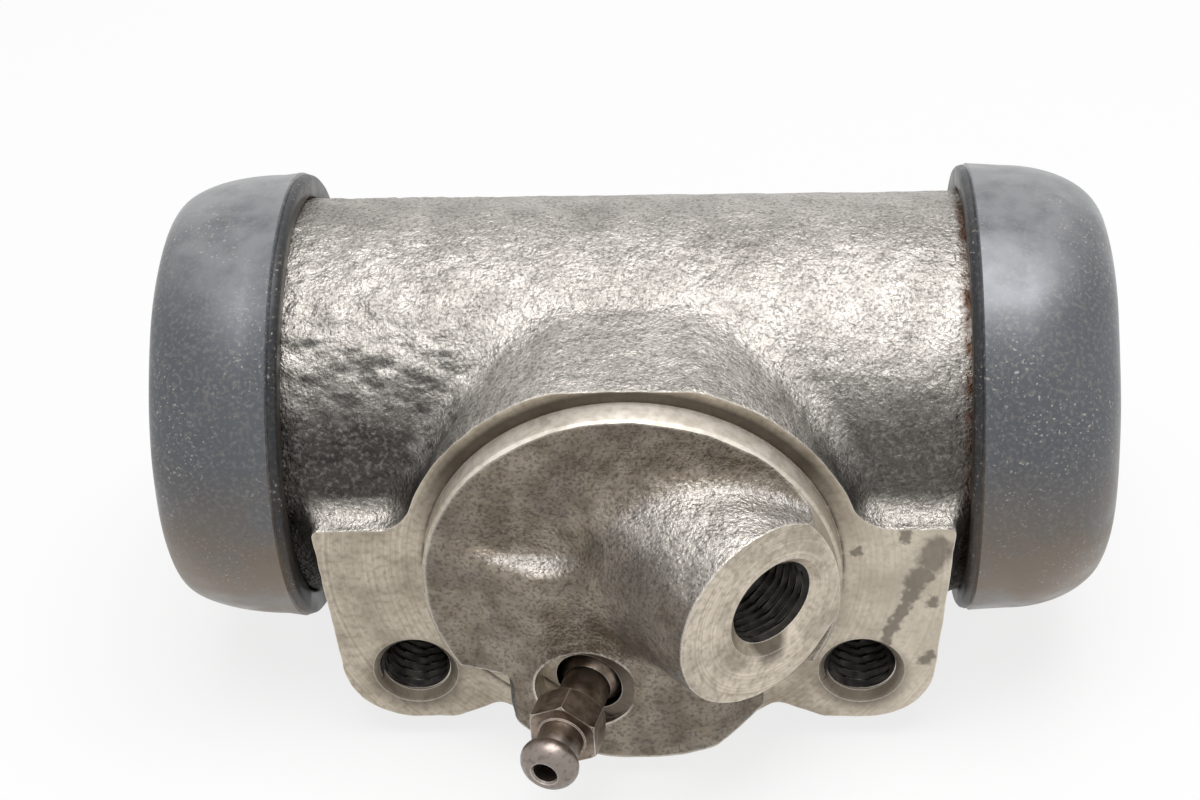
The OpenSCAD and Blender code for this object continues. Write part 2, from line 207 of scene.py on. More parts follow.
def block(name, low, high):
    """Square-cornered tool between two corners."""
    (x0, y0, z0), (x1, y1, z1) = low, high
    points = [(x, y, z) for x in (x0, x1) for y in (y0, y1) for z in (z0, z1)]
    faces = [(0, 1, 3, 2), (4, 6, 7, 5), (0, 4, 5, 1), (2, 3, 7, 6), (0, 2, 6, 4), (1, 5, 7, 3)]
    return piece_from(name, points, faces)


def face_outward(obj):
    """Turns all normals out, so that cuts know the inside of a tool."""
    work = bmesh.new()
    work.from_mesh(obj.data)
    bmesh.ops.recalc_face_normals(work, faces=work.faces)
    work.to_mesh(obj.data)
    work.free()


def combine(obj, tool, how="DIFFERENCE"):
    """Cuts or joins a tool, whose material stays on the faces that it leaves."""
    face_outward(tool)
    step = obj.modifiers.new("step", "BOOLEAN")
    step.operation = how
    step.solver = "MANIFOLD"
    step.material_mode = "TRANSFER"
    step.object = tool
    graph = bpy.context.evaluated_depsgraph_get()
    done = bpy.data.meshes.new_from_object(obj.evaluated_get(graph))
    obj.modifiers.clear()
    old = obj.data
    obj.data = done
    bpy.data.meshes.remove(old)
    bpy.data.objects.remove(tool)


def swell(obj, height):
    """Moves each point along its normal by a height in millimetres, from a function of its place."""
    mesh = obj.data
    points = np.empty(3 * len(mesh.vertices))
    normals = np.empty_like(points)
    mesh.vertices.foreach_get("co", points)
    mesh.vertex_normals.foreach_get("vector", normals)
    lifts = np.array([height(Vector(p)) for p in points.reshape(-1, 3) / MM])
    moved = points.reshape(-1, 3) + normals.reshape(-1, 3) * lifts[:, None] * MM
    mesh.vertices.foreach_set("co", moved.ravel())
    mesh.update()


def shade(obj, sharp):
    """Smooth shading that breaks at edges sharper than an angle in degrees."""
    obj.data.polygons.foreach_set("use_smooth", [True] * len(obj.data.polygons))
    obj.data.set_sharp_from_angle(angle=math.radians(sharp))


def rounded_join(a, b, r):
    """Union of two distance fields with a round cast fillet between them."""
    return np.maximum(r, np.minimum(a, b)) - np.hypot(np.maximum(r - a, 0), np.maximum(r - b, 0))


def rounded_meet(a, b, r):
    """Intersection of two distance fields with a rounded edge."""
    return np.minimum(-r, np.maximum(a, b)) + np.hypot(np.maximum(r + a, 0), np.maximum(r + b, 0))


def casting_field(x, y, z):
    """Distance to the raw casting, before machining."""
    barrel = np.maximum(np.hypot(y - BORE_Y, z - BORE_Z) - BARREL_R, np.abs(x) - BARREL_END)
    across = np.hypot(x, z)
    neck = rounded_meet(across - NECK_R, z - NECK_FLAT, NECK_ROUND)
    lean = math.radians(LUG_LEAN)
    out = np.abs(x)
    side = (out - LUG_X) * math.cos(lean) - (z - HOLE_Z) * math.sin(lean) - LUG_R
    corner = rounded_meet(side, HOLE_Z - LUG_R - z, LUG_R)
    rise = math.radians(NOTCH_RISE)
    notch = -(out - LUG_X + LUG_LEVEL) * math.sin(rise) - (z - HOLE_Z + LUG_R) * math.cos(rise)
    lug = rounded_meet(np.maximum(corner, notch), z - LUG_TOP, LUG_ROUND)
    # The fillets of the lugs widen upward, and those of the barrel narrow
    plate = rounded_join(neck, lug, np.interp(z, (-14.0, -4.0), (0.8, 3.0)))
    flange = np.maximum(rounded_meet(plate, y - FLANGE_BACK, BACK_ROUND), -y - FACE_STOCK)
    body = rounded_join(barrel, flange, np.interp(z, (8.0, 22.0), (3.4, 1.4)))
    # Front: raw disc inside the pilot, pad for the bleeder, leaning inlet boss
    turned = across - PILOT_R - PILOT_STOCK
    disc = np.maximum(turned, np.abs(y - 2.0) - 2.0 - PILOT_H)
    left, right = math.radians(PAD_LEFT_FALL), math.radians(PAD_RIGHT_FALL)
    front = -y - PAD_H
    front = np.maximum(front, (PAD_LEFT - x) * math.sin(left) - (y + PAD_H) * math.cos(left))
    front = np.maximum(front, (x - PAD_RIGHT) * math.sin(right) - (y + PAD_H) * math.cos(right))
    ledge = (z - PAD_TOP - LEDGE_SLOPE * (y + PILOT_H)) / math.hypot(1, LEDGE_SLOPE)
    pad = rounded_meet(front, ledge, PAD_ROUND)
    pad = np.maximum(np.maximum(pad, turned), y - 5.0)
    relief = rounded_meet(RELIEF_X + RELIEF_DRAFT * (y + PAD_H) - out, z - RELIEF_Z, RELIEF_ROUND)
    disc, pad = np.maximum(disc, -relief), np.maximum(pad, -relief)
    rows = along(INLET, INLET_LEAN).inverted()
    h, w, s = (row[0] * x + row[1] * y + row[2] * z + row[3] for row in rows[:3])
    boss = np.hypot(h - BOSS_SHIFT, w) - BOSS_R + BOSS_TAPER * s
    boss = np.maximum(np.maximum(boss, s - FACE_STOCK), y - 6.0)
    body = rounded_join(body, disc, DISC_FILLET)
    body = rounded_join(body, pad, PAD_FILLET)
    return rounded_join(body, boss, BOSS_FILLET)


def skin_height(p):
    """Lumps that the sand leaves, rougher toward the left end of the barrel."""
    rough = min(1.0, max(0.0, (-p.x - 12) / 12)) * min(1.0, max(0.0, (p.y - 6) / 4))
    share = 0.05 + 0.14 * rough
    return 0.10 * noise.fractal(p * 0.22, 0.9, 2.0, 2) + share * noise.fractal(p * 0.75, 0.8, 2.1, 2)


def raw_casting():
    """Mesh of the casting field, with the lumps that sand leaves on the skin."""
    low, high = (-45.0, -20.0, -26.0), (45.0, 48.0, 28.0)
    grids = [np.arange(a, b, CAST_STEP) for a, b in zip(low, high)]
    x, y, z = np.meshgrid(*grids, indexing="ij", sparse=True)
    field = casting_field(x, y, z).astype(np.float32)
    volume = openvdb.FloatGrid(4 * CAST_STEP)
    volume.copyFromArray(np.clip(field, -4 * CAST_STEP, 4 * CAST_STEP))
    points, quads = volume.convertToQuads(0.0)
    points = points.astype(float) * CAST_STEP + np.array(low)
    obj = piece_from("cast_body", points.tolist(), quads.tolist())
    face_outward(obj)
    swell(obj, skin_height)
    return obj


# Materials

def add(tree, kind, inputs=None, **settings):
    """Adds one shader node: settings are its options, inputs are values or sockets to link."""
    made = tree.nodes.new("ShaderNode" + kind)
    for name, value in settings.items():
        setattr(made, name, value)
    for name, value in (inputs or {}).items():
        if isinstance(value, bpy.types.NodeSocket):
            tree.links.new(value, made.inputs[name])
        else:
            made.inputs[name].default_value = value
    return made


def material(name, **constants):
    """New material, its nodes, shader and place on the part, with constant sockets set here."""
    made = bpy.data.materials.new(name)
    made.use_nodes = True
    tree = made.node_tree
    shader = tree.nodes["Principled BSDF"]
    for socket, value in constants.items():
        shader.inputs[socket.replace("_", " ")].default_value = value
    return made, tree, shader, add(tree, "TexCoord").outputs["Object"]


def masked(tree, *masks):
    """Product of masks, each a socket or a number: what lies where all of them are."""
    result = masks[0]
    for mask in masks[1:]:
        result = add(tree, "Math", {0: result, 1: mask}, operation="MULTIPLY").outputs[0]
    return result


def lay(tree, base, colour, *masks):
    """Lays a colour over a base, as far as all its masks let it."""
    inputs = {0: masked(tree, *masks), 6: base, 7: colour}
    return add(tree, "Mix", inputs, data_type="RGBA").outputs[2]


def finish(tree, shader, base, mask, smooth, dull, height=None, strength=1.0, depth=0.0):
    """Gives a shader its colour, a roughness that goes from smooth to dull with a mask, and
    where a height is given, fine relief of a depth in millimetres."""
    tree.links.new(base, shader.inputs["Base Color"])
    rough = add(tree, "MapRange", {"Value": mask, "To Min": smooth, "To Max": dull})
    tree.links.new(rough.outputs[0], shader.inputs["Roughness"])
    if height is not None:
        bump = add(tree, "Bump", {"Height": height, "Strength": strength, "Distance": depth * MM})
        tree.links.new(bump.outputs[0], shader.inputs["Normal"])


def wear(tree, place, size, low, high, detail=3.0):
    """Cloudy mask from noise whose patches are about size millimetres across."""
    cloud = add(tree, "TexNoise", {"Vector": place, "Scale": 1000 / size, "Detail": detail})
    limits = {"Value": cloud.outputs["Fac"], "From Min": low, "From Max": high}
    return add(tree, "MapRange", limits).outputs[0]


def facing(tree, axis, low, high):
    """Mask of how far the surface faces along one axis of the part."""
    normal = add(tree, "SeparateXYZ", {0: add(tree, "NewGeometry").outputs["Normal"]})
    limits = {"Value": normal.outputs[axis], "From Min": low, "From Max": high}
    return add(tree, "MapRange", limits, interpolation_type="SMOOTHSTEP").outputs[0]


def rising(tree, place, axis, low, high):
    """Mask that rises from one place to another along an axis of the part, in millimetres."""
    where = add(tree, "SeparateXYZ", {0: place})
    limits = {"Value": where.outputs[axis], "From Min": low * MM, "From Max": high * MM}
    return add(tree, "MapRange", limits).outputs[0]


def near(tree, place, spot, reach):
    """Mask that is 1 at a spot and 0 from a reach on, both in millimetres."""
    gap = add(tree, "VectorMath", {0: place, 1: spot * MM}, operation="DISTANCE")
    limits = {"Value": gap.outputs["Value"], "From Min": reach * MM, "From Max": 0.0}
    return add(tree, "MapRange", limits).outputs[0]


def streak(tree, place, start, end, reach):
    """Mask that is 1 on a line between two spots and 0 from a reach on, in millimetres."""
    run = end - start
    offset = add(tree, "VectorMath", {0: place, 1: start * MM}, operation="SUBTRACT").outputs[0]
    unit = run / (run.length_squared * MM)
    share = add(tree, "VectorMath", {0: offset, 1: unit}, operation="DOT_PRODUCT")
    held = add(tree, "Math", {0: share.outputs["Value"], 1: 0.0}, operation="ADD", use_clamp=True)
    foot = add(tree, "VectorMath", {0: run * MM, "Scale": held.outputs[0]}, operation="SCALE")
    gap = add(tree, "VectorMath", {0: offset, 1: foot.outputs[0]}, operation="DISTANCE")
    limits = {"Value": gap.outputs["Value"], "From Min": reach * MM, "From Max": 0.0}
    return add(tree, "MapRange", limits).outputs[0]


def edge_wear_and_glint(tree, radius):
    """Mask along edges, about a radius in millimetres wide."""
    soft = add(tree, "Bevel", {"Radius": radius * MM}, samples=4)
    flat = add(tree, "NewGeometry").outputs["Normal"]
    turn = add(tree, "VectorMath", {0: soft.outputs[0], 1: flat}, operation="DOT_PRODUCT")
    limits = {"Value": turn.outputs["Value"], "From Min": 0.985, "From Max": 0.88}
    return add(tree, "MapRange", limits).outputs[0]


def turning_marks(tree, place, centre, axis, pitch, detail):
    """Distance from the axis that the work turned about, and uneven rings a pitch apart."""
    offset = add(tree, "VectorMath", {0: place, 1: Vector(centre) * MM}, operation="SUBTRACT")
    across = add(tree, "VectorMath", {0: offset.outputs[0], 1: axis}, operation="CROSS_PRODUCT")
    radius = add(tree, "VectorMath", {0: across.outputs[0]}, operation="LENGTH").outputs["Value"]
    swirl = add(tree, "CombineXYZ", {"X": radius})
    grain = {"Vector": swirl.outputs[0], "Scale": 1000 / pitch, "Detail": detail}
    return radius, add(tree, "TexNoise", grain).outputs["Fac"]


def sand_cast_iron():
    # Grey iron poured in sand: grainy and brown in front, with painted light that makes it pale where it
    # faces up, and painted shade that makes it dark below
    made, tree, shader, place = material("sand_cast_iron", Metallic=0.85)
    painted_top_light = facing(tree, "Z", 0.40, 0.84)
    # Painted shade, darker toward the left end, on what faces sideways or down, and painted light, pale, on
    # what faces up
    base = lay(tree, linear("403d3a"), linear("5a5753"), rising(tree, place, "X", -15, 20))
    base = lay(tree, base, linear("b9b4ae"), painted_top_light)
    stain = lay(tree, linear("9c9183"), linear("7d7161"), wear(tree, place, 3, 0.4, 0.65))
    base = lay(tree, base, stain, facing(tree, "Y", -0.35, -0.9), rising(tree, place, "Y", 3, 0))
    base = lay(tree, base, linear("5a544e"), wear(tree, place, 9, 0.48, 0.72), 0.4)
    base = lay(tree, base, linear("5f5b57"), wear(tree, place, 4, 0.4, 0.7), 0.35)
    # Grains of about 0.3 mm: dull hollows, and pale crests that are painted glints, most where the painted
    # light from above falls
    base = lay(tree, base, linear("3b3734"), wear(tree, place, 0.4, 0.52, 0.36), 0.5)
    painted_glint_share = add(tree, "MapRange", {"Value": painted_top_light, "To Min": 0.05, "To Max": 0.5})
    base = lay(tree, base, linear("d8d3cc"), wear(tree, place, 0.3, 0.55, 0.72), painted_glint_share.outputs[0])
    # Low on the barrel: wrinkles left of the neck, 3 mm long and 1 mm wide, painted dark as shaded folds,
    # and lumps with painted glints
    behind = rising(tree, place, "Y", 2, 4)
    stretched = add(tree, "VectorMath", {0: place, 1: (0.35, 1, 1)}, operation="MULTIPLY").outputs[0]
    sloped = masked(tree, facing(tree, "Z", 0.86, 0.7), rising(tree, place, "X", -9, -16), behind)
    base = lay(tree, base, linear("33312f"), wear(tree, stretched, 1.2, 0.5, 0.6), sloped, 0.65)
    low = masked(tree, facing(tree, "Z", 0.7, 0.45), facing(tree, "Y", -0.5, -0.7), behind)
    base = lay(tree, base, linear("8b8782"), wear(tree, place, 0.5, 0.5, 0.72), low, 0.6)
    # Rust that crept out from under the right boot
    under = rising(tree, place, "X", 33.8, 34.5)
    base = lay(tree, base, linear("5d473a"), under, wear(tree, place, 2, 0.3, 0.6))
    # Burr rubbed bright where machining met the skin
    base = lay(tree, base, linear("f0eae0"), edge_wear_and_glint(tree, 0.6), 0.9)
    # Grain of the sand, about 0.3 mm, over pits of about 1.3 mm
    sand = {"Vector": place, "Scale": 1000 / 0.32, "Detail": 2.0, "Roughness": 0.6}
    grain = add(tree, "TexNoise", sand).outputs["Fac"]
    pits = add(tree, "TexNoise", {"Vector": place, "Scale": 1000 / 1.3, "Detail": 2.0}).outputs["Fac"]
    skin = add(tree, "Math", {0: pits, 1: 2.0, 2: grain}, operation="MULTIPLY_ADD").outputs[0]
    finish(tree, shader, base, wear(tree, place, 2.4, 0.35, 0.65), 0.36, 0.52, skin, 1.0, 0.16)
    return made


def turned_iron(name, centre, axis, dark, pale):
    # Iron faced on a lathe: warm grey, with faint rings round its axis, dull blotches, oil stains
    made, tree, shader, place = material(name, Metallic=0.75)
    # Feed marks about 0.35 mm apart
    radius, rings = turning_marks(tree, place, centre, axis, 0.35, 3.0)
    tone = add(tree, "MapRange", {"Value": rings, "From Min": 0.3, "From Max": 0.7})
    base = lay(tree, linear(dark), linear(pale), tone.outputs[0])
    base = lay(tree, base, linear("857a69"), wear(tree, place, 5, 0.42, 0.7), 0.7)
    base = lay(tree, base, linear("7f7565"), wear(tree, place, 0.7, 0.45, 0.7), 0.5)
    # The right lug is paler than the left one
    base = lay(tree, base, linear("e8decd"), rising(tree, place, "X", 18, 28), 0.35)
    # Painted shade with some dark oil on the face above the pilot, where the pilot's wall keeps light off,
    # and a line of painted shade and oil in the corner all round
    outside = add(tree, "Math", {0: radius, 1: (PILOT_R - 0.1) * MM}, operation="GREATER_THAN")
    level = masked(tree, facing(tree, "Y", -0.6, -0.9), outside.outputs[0])
    limits = {"Value": radius, "From Min": (PILOT_R + 2.3) * MM, "From Max": (PILOT_R + 1.2) * MM}
    wide = add(tree, "MapRange", limits).outputs[0]
    base = lay(tree, base, linear("3a332c"), wide, rising(tree, place, "Z", 4, 14), level, 0.9)
    limits = {"Value": radius, "From Min": (PILOT_R + 0.5) * MM, "From Max": (PILOT_R + 0.1) * MM}
    corner_shade_and_oil = add(tree, "MapRange", limits).outputs[0]
    base = lay(tree, base, linear("383129"), corner_shade_and_oil, level, wear(tree, place, 1.8, 0.3, 0.5), 0.8)
    # Painted highlight in patches on top of the pilot's wall, where light from above falls on it
    rim = add(tree, "Math", {0: radius, 1: FRONT_R * MM, 2: 0.35 * MM}, operation="COMPARE")
    wall = masked(tree, facing(tree, "Z", 0.2, 0.8), rim.outputs[0])
    patchy_highlight = {"Value": wear(tree, place, 1.2, 0.35, 0.6), "To Min": 0.55, "To Max": 1.0}
    base = lay(tree, base, linear("fff7ea"), wall, add(tree, "MapRange", patchy_highlight).outputs[0])
    # Darker patches at the spots listed above
    for spot, reach in DARK_PATCHES:
        limits = {"Value": near(tree, place, spot, reach), "From Min": 0.1, "From Max": 0.4}
        base = lay(tree, base, linear("50463b"), add(tree, "MapRange", limits).outputs[0], 0.85)
    # Oil with edges that stray by up to a millimetre
    cloud = add(tree, "TexNoise", {"Vector": place, "Scale": 1000 / 0.9, "Detail": 3.0})
    stray = {0: cloud.outputs["Color"], 1: (2.0 * MM,) * 3, 2: place}
    shift = add(tree, "VectorMath", stray, operation="MULTIPLY_ADD").outputs[0]
    ragged = add(tree, "VectorMath", {0: shift, 1: (1.0 * MM,) * 3}, operation="SUBTRACT").outputs[0]
    oil = 0.0
    for x0, z0, x1, z1, reach in OIL:
        mark = streak(tree, ragged, Vector((x0, 0, z0)), Vector((x1, 0, z1)), reach)
        oil = add(tree, "Math", {0: mark, 1: oil}, operation="MAXIMUM").outputs[0]
    oil = add(tree, "MapRange", {"Value": oil, "From Min": 0.05, "From Max": 0.5}).outputs[0]
    base = lay(tree, base, linear("5c534a"), oil, 0.7)
    base = lay(tree, base, linear("f0e9de"), edge_wear_and_glint(tree, 0.2), 0.7)
    finish(tree, shader, base, rings, 0.36, 0.52, rings, 0.6, 0.03)
    return made


def tapped_iron():
    # Cut thread still wet with oil: near black, with painted glints on the crests
    made, tree, shader, place = material("tapped_iron", Metallic=0.8)
    base = lay(tree, linear("201e1c"), linear("3a3733"), wear(tree, place, 1.5, 0.4, 0.65))
    base = lay(tree, base, linear("8f8a83"), edge_wear_and_glint(tree, 0.12), 0.5)
    finish(tree, shader, base, wear(tree, place, 0.8, 0.3, 0.7), 0.3, 0.45)
    return made


def moulded_rubber(name, dark, pale, dust, gloss):
    # Moulded rubber from long storage: slate black with a bluish waxy sheen, brown dust, pale specks
    tint = linear("e6ebf5")
    made, tree, shader, place = material(name, Coat_Roughness=0.3, Specular_Tint=tint)
    base = lay(tree, linear(dark), linear(pale), wear(tree, place, 14, 0.4, 0.65))
    dusty = masked(tree, facing(tree, "Z", 0.4, -0.3), wear(tree, place, 8, 0.15, 0.5), dust)
    base = lay(tree, base, linear("86745f"), dusty)
    # Film of dust on top, pale grey that is also the painted sheen of the light above, mottling of about
    # 0.5 mm, then specks of 0.2 to 0.3 mm
    dust_and_sheen_film = masked(tree, facing(tree, "Z", 0.75, 1.0), wear(tree, place, 3, 0.2, 0.6))
    base = lay(tree, base, linear("9a9a9c"), dust_and_sheen_film, 0.6 * dust)
    base = lay(tree, base, linear("79746d"), wear(tree, place, 0.45, 0.48, 0.74), 0.1 + 0.6 * dust)
    specks = wear(tree, place, 0.3, 0.71, 0.78, 0.0)
    base = lay(tree, base, linear("b9b2a8"), specks, wear(tree, place, 9, 0.4, 0.65), 0.7)
    # Dust takes the gloss away
    clean = add(tree, "MapRange", {"Value": dusty, "To Min": gloss, "To Max": 0.25 * gloss}).outputs[0]
    tree.links.new(clean, shader.inputs["Specular IOR Level"])
    tree.links.new(masked(tree, clean, 0.7), shader.inputs["Coat Weight"])
    # Skin of the mould, about 1 mm
    skin = add(tree, "TexNoise", {"Vector": place, "Scale": 1000 / 1.0, "Detail": 4.0}).outputs["Fac"]
    finish(tree, shader, base, wear(tree, place, 4, 0.3, 0.7), 0.32, 0.52, skin, 0.4, 0.06)
    return made


def oxidised_steel():
    # Turned steel gone brown in storage, with its rounded end and corners rubbed bright
    made, tree, shader, place = material("oxidised_steel", Metallic=0.95)
    base = lay(tree, linear("65564a"), linear("96877a"), wear(tree, place, 2.5, 0.38, 0.62))
    tip = along(BLEED, BLEED_LEAN) @ Vector((0, 0, 11.4))
    limits = {"Value": near(tree, place, tip, 6.0), "From Min": 0.42, "From Max": 0.5}
    base = lay(tree, base, linear("938983"), add(tree, "MapRange", limits).outputs[0], 0.9)
    base = lay(tree, base, linear("5a514b"), wear(tree, place, 0.6, 0.5, 0.68), 0.5)
    base = lay(tree, base, linear("e2dcd4"), edge_wear_and_glint(tree, 0.2))
    finish(tree, shader, base, wear(tree, place, 1.5, 0.3, 0.7), 0.28, 0.46)
    return made


def drawn_steel():
    # Spring wire and pressed dishes: clean grey steel with a light draw grain
    made, tree, shader, place = material("drawn_steel", Metallic=0.95)
    base = lay(tree, linear("85857f"), linear("a3a39d"), wear(tree, place, 1.2, 0.35, 0.65))
    finish(tree, shader, base, wear(tree, place, 0.8, 0.3, 0.7), 0.28, 0.42)
    return made


def turned_alloy():
    # Turned aluminium piston: bright, with rings about 0.3 mm apart round the bore axis
    made, tree, shader, place = material("turned_alloy", Metallic=0.95)
    rings = turning_marks(tree, place, (0, BORE_Y, BORE_Z), (1, 0, 0), 0.3, 2.0)[1]
    base = lay(tree, linear("a3a3a0"), linear("c6c6c3"), rings)
    finish(tree, shader, base, rings, 0.24, 0.4)
    return made


CAST = sand_cast_iron()
TURNED = turned_iron("turned_iron", (0, 0, 0), (0, 1, 0), "afa493", "d6cbba")
PORT_AXIS = along(INLET, INLET_LEAN).to_3x3() @ Vector((0, 0, 1))
FACED = turned_iron("faced_iron", INLET, PORT_AXIS, "c2b6a5", "e9decd")
TAPPED = tapped_iron()
RUBBER = moulded_rubber("moulded_rubber", "282b2f", "373a3e", dust=0.8, gloss=1.0)
# Darker, duller rubber: the cups, and painted shade on the end faces of the boots' rims
SEAL_AND_RIM_SHADE = moulded_rubber("dark_rubber_and_rim_shade", "1f1f20", "2a2a2b", dust=0.2, gloss=0.3)
OXIDE = oxidised_steel()
DRAWN = drawn_steel()
ALLOY = turned_alloy()


# Pieces

def machine(body, tool, left):
    """Cuts a tool out of the body, with the material that the cut leaves."""
    tool.data.materials.append(left)
    combine(body, tool)


def facing_tool():
    """All that lies in front of the flange face, except the core inside the pilot."""
    tool = block("facing", (-60, -40, -50), (60, 0, 50))
    tool.data.materials.append(TURNED)
    profile = [(0, -1), (PILOT_R, -1), (PILOT_R, PILOT_H - PILOT_BEVEL), (FRONT_R, PILOT_H),
               (FRONT_R, 50), (0, 50)]
    core = lathe("core", profile, along((0, 0, 0), 0), 192)
    core.data.materials.append(TURNED)
    face_outward(core)
    for x0, x1 in ((-40, -RELIEF_X - 0.7), (RELIEF_X + 0.7, 40)):
        machine(core, block("relief", (x0, -60, -40), (x1, 5, RELIEF_Z + 0.05)), TURNED)
    combine(tool, core)
    return tool


def cast_body():
    """The casting, then its machining in the order of the shop."""
    body = raw_casting()
    body.data.materials.append(CAST)
    combine(body, facing_tool())
    port = along(INLET, INLET_LEAN)
    seat = port @ Matrix.Translation((BOSS_SHIFT, 0, 0))
    machine(body, lathe("seat", [(0, 0), (14, 0), (14, 9), (0, 9)], seat), FACED)
    machine(body, lathe("bevel", [(0, -1.4), (4.4, -1.4), (6.1, 0.3), (0, 0.3)], port), FACED)
    thread = thread_tool("port", port, minor=4.5, major=5.0, pitch=1.0, depth=11.0, mouth=4.3)
    machine(body, thread, TAPPED)
    for sign in (-1, 1):
        hole = along((sign * HOLE_X, 0, HOLE_Z), 0)
        thread = thread_tool("bolt", hole, minor=3.4, major=4.0, pitch=1.25, depth=11.5, mouth=3.4)
        machine(body, thread, TAPPED)
        machine(body, lathe("sink", [(0, -0.9), (3.7, -0.9), (4.9, 0.3), (0, 0.3)], hole), TURNED)
    bleed = along(BLEED, BLEED_LEAN)
    spot = [(0, -SPOT_DEPTH), (SPOT_R, -SPOT_DEPTH), (SPOT_R, 3), (0, 3)]
    machine(body, lathe("spot", spot, bleed), FACED)
    machine(body, lathe("mouth", [(0, -14), (3.65, -13), (3.65, 1), (0, 1)], bleed), TAPPED)
    wide = BORE_R + BORE_BEVEL
    inner = BARREL_END - BORE_BEVEL
    bore = [(0, -50), (BORE_R + 6, -50), (wide, -BARREL_END), (BORE_R, -inner),
            (BORE_R, inner), (wide, BARREL_END), (BORE_R + 6, 50), (0, 50)]
    machine(body, lathe("bore", bore, on_bore(1)), TURNED)
    groove = [(GROOVE_R, GROOVE_IN), (23, GROOVE_IN), (23, GROOVE_OUT), (GROOVE_R, GROOVE_OUT)]
    for side in (-1, 1):
        machine(body, ring("groove", groove, on_bore(side)), TURNED)
    shade(body, 40)
    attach(body, "cylinder")
    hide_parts("cylinder_body")


def dust_boot(name, side, end, rim, radial, axial, face, rise):
    """Rubber cap: rim with a flash line, elliptic shoulder, domed end and a lip round the push rod."""
    tip = face + BOOT_DOME
    crest = rim - 0.25 - radial
    section = [(rim - 0.6, end), (rim - 0.3, end + 0.25), (rim - 0.15, end + 0.75),
               (rim - 0.32, end + 0.9), (rim, end + 1.15)]
    for k in range(25):
        a = math.radians(90 * k / 24)
        section.append((crest + radial * math.cos(a), face - axial + axial * math.sin(a)))
    for k in range(1, 7):
        t = k / 6
        section.append((crest + (ROD_HOLE_R + 1.0 - crest) * t, face + BOOT_DOME * t * (2 - t)))
    section += [(ROD_HOLE_R + 0.3, tip - 0.2), (ROD_HOLE_R, tip - 0.8), (ROD_HOLE_R, tip - 4.0),
                (ROD_HOLE_R + 2.0, tip - 2.4), (17.0, face - 2.0), (20.2, face - 3.0),
                (21.4, BARREL_END + 1.6), (BOOT_INNER_R, BARREL_END + 0.6)]
    bead_r, bead_in, bead_out = GROOVE_R + BEAD_GAP, GROOVE_IN + BEAD_GAP, GROOVE_OUT - BEAD_GAP
    section += [(BOOT_INNER_R, bead_out), (bead_r, bead_out), (bead_r, bead_in),
                (BOOT_INNER_R, bead_in), (BOOT_INNER_R, end + 0.4), (22.2, end)]
    obj = ring(name, section, Matrix.Translation((0, 0, rise)) @ on_bore(side))
    face_outward(obj)
    swell(obj, lambda p: 0.10 * noise.noise(p * 0.11))
    obj.data.materials.append(RUBBER)
    obj.data.materials.append(SEAL_AND_RIM_SHADE)
    # The end of the rim takes the darker rubber as painted shade
    for polygon in obj.data.polygons:
        polygon.material_index = 1 if polygon.center.x * side < (end + 0.8) * MM else 0
    shade(obj, 50)
    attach(obj, "cylinder")
    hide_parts("boot_left" if side < 0 else "boot_right")


def bleeder():
    """Bleeder: relieved shank, hexagon with turned corners, waist and rounded hose bead."""
    place = along(BLEED, BLEED_LEAN)
    back = NIPPLE_END - 2.4
    stem = [(0, -13.6), (1.0, -13.6), (3.4, -12.5), (3.4, -2.2), (2.55, -0.9), (2.55, HEX_FRONT),
            (WAIST_R, HEX_FRONT + 0.15)]
    # Fine turning rings on the waist, then the bead: square behind, rounded in front
    for k in range(4):
        stem += [(WAIST_R, HEX_FRONT + 0.5 + 0.6 * k), (WAIST_R - 0.06, HEX_FRONT + 0.8 + 0.6 * k)]
    stem += [(WAIST_R, back), (2.85, back), (3.02, back + 0.2), (3.12, back + 0.65), (3.08, back + 1.05),
             (2.9, back + 1.5), (2.6, back + 1.9), (2.2, back + 2.2), (1.85, NIPPLE_END),
             (1.45, NIPPLE_END), (NIPPLE_BORE, NIPPLE_END - 0.25), (NIPPLE_BORE, 4.0), (0, 4.0)]
    obj = lathe("bleeder", stem, place, 64)
    face_outward(obj)
    bar = [(0, HEX_BACK), (HEX_CORNER_R, HEX_BACK), (HEX_CORNER_R, HEX_FRONT), (0, HEX_FRONT)]
    hexagon = lathe("hexagon", bar, place @ Matrix.Rotation(math.radians(30), 4, "Z"), 6)
    face_outward(hexagon)
    turned = [(0, HEX_BACK - 0.1), (3.3, HEX_BACK - 0.1), (4.1, HEX_BACK + 0.6), (4.1, HEX_FRONT - 0.25),
              (3.7, HEX_FRONT + 0.05), (0, HEX_FRONT + 0.05)]
    combine(hexagon, lathe("turned", turned, place), "INTERSECT")
    combine(obj, hexagon, "UNION")
    obj.data.materials.clear()
    obj.data.materials.append(OXIDE)
    shade(obj, 32)
    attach(obj, "bleeder")
    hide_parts("bleeder_screw")


